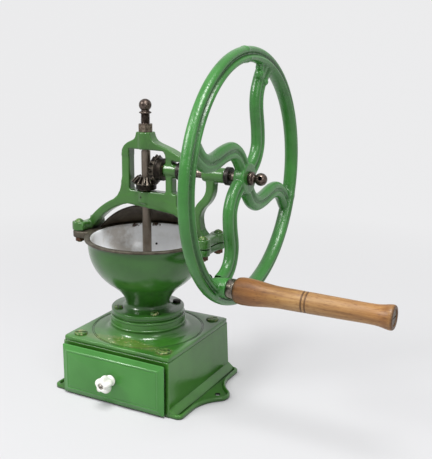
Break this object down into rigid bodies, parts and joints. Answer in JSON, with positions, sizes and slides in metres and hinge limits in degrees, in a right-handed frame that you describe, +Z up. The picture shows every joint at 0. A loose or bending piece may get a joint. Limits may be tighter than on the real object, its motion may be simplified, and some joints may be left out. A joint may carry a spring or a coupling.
{
  "type": "manual coffee grinder",
  "caption": "Counter-top coffee mill: cast base with a drawer, open bowl hopper under an arched bridge, bevel gears and a side flywheel with a turned wooden handle.",
  "frame": {"origin": "on the surface the mill stands on, under the spindle's axis", "axes": "+Z up, -Y towards the drawer's front, +X along the drive shaft to the flywheel"},
  "size_m": [0.4434, 0.2894, 0.4208],
  "materials": {
    "base_paint": "gloss paint, worn",
    "plate_paint": "gloss paint, worn",
    "screw_paint": "painted over",
    "hopper_paint": "gloss paint outside, enamel inside",
    "bridge_paint": "gloss paint, worn",
    "wheel_paint": "gloss paint",
    "drawer_paint": "gloss paint",
    "floor_sheet": "mill finish",
    "dark_screw": "blackened",
    "burr_iron": "cast, ground edges",
    "bar_iron": "as cast",
    "small_steel": "turned",
    "rusty_nut": "rusted",
    "bush_brass": "turned",
    "dark_nut": "browned",
    "dark_steel": "browned, worn",
    "spindle_steel": "turned, oily",
    "gear_iron": "cast, oily",
    "shaft_steel": "turned, oily",
    "collar_steel": "blackened",
    "rod_steel": "turned",
    "ferrule_steel": "polished, worn",
    "grip_wood": "oiled, worn",
    "tray_sheet": "tinned sheet",
    "knob_porcelain": "white glaze",
    "knob_steel": "dull",
    "dome_sheet": "brown lacquer"
  },
  "bodies": {
    "frame": {"base_box": "base_paint", "floor_plate": "floor_sheet", "top_plate": "plate_paint", "plate_screws": "screw_paint", "hopper": "hopper_paint", "hopper_screws": "dark_screw", "outer_burr": "burr_iron", "footstep_bar": "bar_iron", "footstep_screws": "small_steel", "bridge": "bridge_paint", "bridge_bolts": "screw_paint", "bridge_nuts": "rusty_nut", "spindle_top_bush": "bush_brass", "spindle_low_bush": "bush_brass", "shaft_inner_bush": "bush_brass", "shaft_outer_bush": "bush_brass", "lock_nut": "dark_nut"},
    "adjuster": {"thrust_pad": "small_steel"},
    "adjuster_screw": {"adjusting_screw": "dark_steel"},
    "grinding_spindle": {"spindle": "spindle_steel", "pinion": "gear_iron", "pinion_pin": "small_steel", "inner_burr": "burr_iron", "burr_nut": "small_steel"},
    "drive": {"drive_shaft": "shaft_steel", "bevel_wheel": "gear_iron", "bevel_wheel_pin": "small_steel", "inner_collar": "collar_steel", "shaft_collar": "collar_steel", "collar_screws": "small_steel", "flywheel": "wheel_paint", "wheel_key": "small_steel", "wheel_screw": "dark_steel", "handle_rod": "rod_steel", "handle_nut": "rusty_nut", "handle_ferrule": "ferrule_steel", "handle_end_nut": "dark_nut"},
    "grip": {"handle_grip": "grip_wood"},
    "drawer": {"drawer_tray": "tray_sheet", "drawer_front": "drawer_paint", "drawer_rivets": "small_steel", "drawer_knob": "knob_porcelain", "knob_screw": "knob_steel"},
    "lid": {"hopper_lid": "dome_sheet"}
  },
  "joints": [
    {"name": "wheel_turn", "type": "hinge", "parent": "frame", "child": "drive", "pos_m": [0, 0, 0.2761], "axis": [1, 0, 0], "continuous": true},
    {"name": "grip_spin", "type": "hinge", "parent": "drive", "child": "grip", "pos_m": [0.24, -0.07055, 0.1687], "axis": [1, 0, 0], "continuous": true},
    {"name": "adjust_screw_turn", "type": "hinge", "parent": "adjuster", "child": "adjuster_screw", "pos_m": [0, 0, 0.34], "axis": [0, 0, 1], "range_deg": [-190, 190]},
    {"name": "grind_travel", "type": "slide", "parent": "frame", "child": "adjuster", "axis": [0, 0, 1], "range_m": [-0.00063, 0.00063]},
    {"name": "spindle_turn", "type": "hinge", "parent": "adjuster", "child": "grinding_spindle", "pos_m": [0, 0, 0.2], "axis": [0, 0, 1], "continuous": true},
    {"name": "drawer_slide", "type": "slide", "parent": "frame", "child": "drawer", "axis": [0, -1, 0], "range_m": [-0.002, 0.105]},
    {"name": "lid_swivel", "type": "hinge", "parent": "frame", "child": "lid", "pos_m": [0, 0, 0.1918], "axis": [0, 0, 1], "range_deg": [0, 180]}
  ],
  "couplings": [
    {"joint": "spindle_turn", "follows": "wheel_turn", "ratio": 1},
    {"joint": "adjust_screw_turn", "follows": "grind_travel", "rad_per_m": 5026.5}
  ]
}
